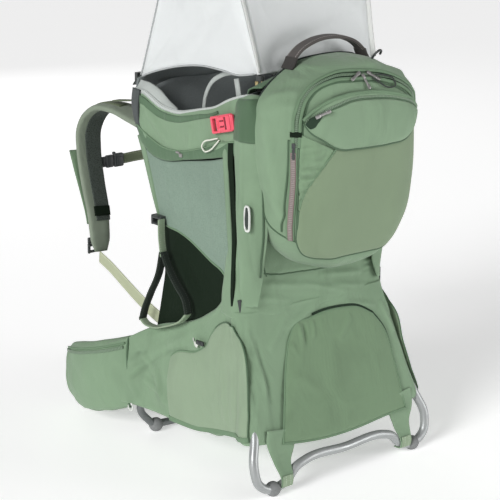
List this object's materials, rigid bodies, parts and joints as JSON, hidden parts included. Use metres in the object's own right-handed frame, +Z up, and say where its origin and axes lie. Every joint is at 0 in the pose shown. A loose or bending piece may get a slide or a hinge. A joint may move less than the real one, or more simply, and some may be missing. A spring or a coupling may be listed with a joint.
{
  "type": "baby carrier backpack",
  "caption": "Framed child carrier backpack with a fold-in kickstand, side-opening cockpit with seat, raised sunshade, rear storage pack and a padded wearer's harness.",
  "frame": {"origin": "middle of the footprint on the floor, under the middle of the overall box", "axes": "+Z up, +Y the way the wearer faces, -X the wearer's left"},
  "size_m": [0.4314, 0.6875, 0.9572],
  "materials": {
    "frame_tube": "satin silver grey tube",
    "steel_pin": "plain pin",
    "rubber": "matte grey rubber",
    "black_plastic": "fine textured acetal",
    "red_plastic": "fine textured acetal",
    "sage_fabric": "plain woven nylon with a soft sheen",
    "khaki_fabric": "plain woven nylon",
    "stretch_fabric": "stretch woven",
    "side_mesh": "open stretch mesh",
    "grey_fabric": "dark grey spacer mesh and tricot",
    "canopy_fabric": "light woven sun fabric",
    "webbing": "flat webbing",
    "handle_webbing": "padded webbing"
  },
  "bodies": {
    "carrier": {"main_frame": "frame_tube", "base_loop": "frame_tube", "front_foot_left": "rubber", "front_foot_right": "rubber", "rear_strut_left": "frame_tube", "rear_strut_right": "frame_tube", "hinge_bracket_left": "black_plastic", "hinge_bracket_right": "black_plastic", "hinge_pin_left": "steel_pin", "hinge_pin_right": "steel_pin", "base_compartment": "sage_fabric", "lower_side_left": "khaki_fabric", "lower_side_right": "khaki_fabric", "gusset_left": "sage_fabric", "gusset_right": "sage_fabric", "upper_side_left": "sage_fabric", "upper_side_right": "sage_fabric", "mesh_side_left": "side_mesh", "mesh_side_right": "side_mesh", "cockpit_back": "grey_fabric", "back_panel": "grey_fabric", "lumbar_pad": "grey_fabric", "chin_pad": "grey_fabric", "storage_pack": "sage_fabric", "front_pocket": "stretch_fabric", "pole_socket_left": "black_plastic", "pole_socket_right": "black_plastic", "side_buckle_socket_left": "red_plastic", "side_buckle_socket_right": "red_plastic"},
    "kickstand": {"kickstand_loop": "frame_tube", "rear_foot_left": "rubber", "rear_foot_right": "rubber", "rear_panel": "khaki_fabric"},
    "sunshade": {"sunshade_fabric": "canopy_fabric", "sunshade_pole_left": "frame_tube", "sunshade_pole_right": "frame_tube", "sunshade_hook_left": "black_plastic", "sunshade_hook_right": "black_plastic"},
    "seat": {"seat_pad": "grey_fabric", "seat_back_pad": "grey_fabric", "child_harness": "canopy_fabric", "harness_clip": "black_plastic"},
    "handle": {"haul_handle": "handle_webbing"},
    "shoulders": {"shoulder_yoke": "grey_fabric", "shoulder_strap_left": "sage_fabric", "shoulder_strap_right": "sage_fabric", "load_lifter_left": "webbing", "load_lifter_right": "webbing", "lower_webbing_left": "webbing", "lower_webbing_right": "webbing"},
    "sternum": {"sternum_strap": "webbing", "sternum_buckle": "black_plastic"},
    "hip_left": {"hip_wing_left": "sage_fabric", "hip_buckle_left": "black_plastic"},
    "hip_right": {"hip_wing_right": "sage_fabric", "hip_buckle_right": "black_plastic"},
    "plug_left": {"side_buckle_plug_left": "red_plastic"},
    "plug_right": {"side_buckle_plug_right": "red_plastic"},
    "stirrup_left_body": {"stirrup_left": "webbing"},
    "stirrup_right_body": {"stirrup_right": "webbing"}
  },
  "joints": [
    {"name": "kickstand_fold", "type": "hinge", "parent": "carrier", "child": "kickstand", "pos_m": [0, -0.181, 0.288], "axis": [1, 0, 0], "range_deg": [0, 28], "deforming": ["gusset_left", "gusset_right"]},
    {"name": "sunshade_tilt", "type": "hinge", "parent": "carrier", "child": "sunshade", "pos_m": [0, -0.195, 0.704], "axis": [1, 0, 0], "range_deg": [0, 20]},
    {"name": "torso_adjust", "type": "slide", "parent": "carrier", "child": "shoulders", "axis": [0, 0.3219, 0.9468], "range_m": [-0.05, 0.03], "deforming": ["load_lifter_left", "load_lifter_right", "lower_webbing_left", "lower_webbing_right"]},
    {"name": "sternum_height", "type": "slide", "parent": "shoulders", "child": "sternum", "axis": [0, 0.334, 0.9426], "range_m": [-0.03, 0.025]},
    {"name": "seat_height", "type": "slide", "parent": "carrier", "child": "seat", "axis": [0, 0, 1], "range_m": [0, 0.06]},
    {"name": "haul_handle_flop", "type": "hinge", "parent": "carrier", "child": "handle", "pos_m": [0, -0.222, 0.721], "axis": [1, 0, 0], "range_deg": [-20, 20]},
    {"name": "hip_swing_left", "type": "hinge", "parent": "carrier", "child": "hip_left", "pos_m": [-0.128, 0.051, 0], "axis": [0, 0, 1], "range_deg": [-14, 18]},
    {"name": "hip_swing_right", "type": "hinge", "parent": "carrier", "child": "hip_right", "pos_m": [0.128, 0.051, 0], "axis": [0, 0, 1], "range_deg": [-18, 14]},
    {"name": "stirrup_swing_left", "type": "hinge", "parent": "carrier", "child": "stirrup_left_body", "pos_m": [-0.164, 0.037, 0.424], "axis": [1, 0, 0], "range_deg": [-20, 20]},
    {"name": "stirrup_swing_right", "type": "hinge", "parent": "carrier", "child": "stirrup_right_body", "pos_m": [0.164, 0.037, 0.424], "axis": [1, 0, 0], "range_deg": [-20, 20]},
    {"name": "side_buckle_left_release", "type": "slide", "parent": "carrier", "child": "plug_left", "axis": [0, 0.9689, -0.2474], "range_m": [0, 0.014]},
    {"name": "side_buckle_right_release", "type": "slide", "parent": "carrier", "child": "plug_right", "axis": [0, 0.9689, -0.2474], "range_m": [0, 0.014]}
  ]
}
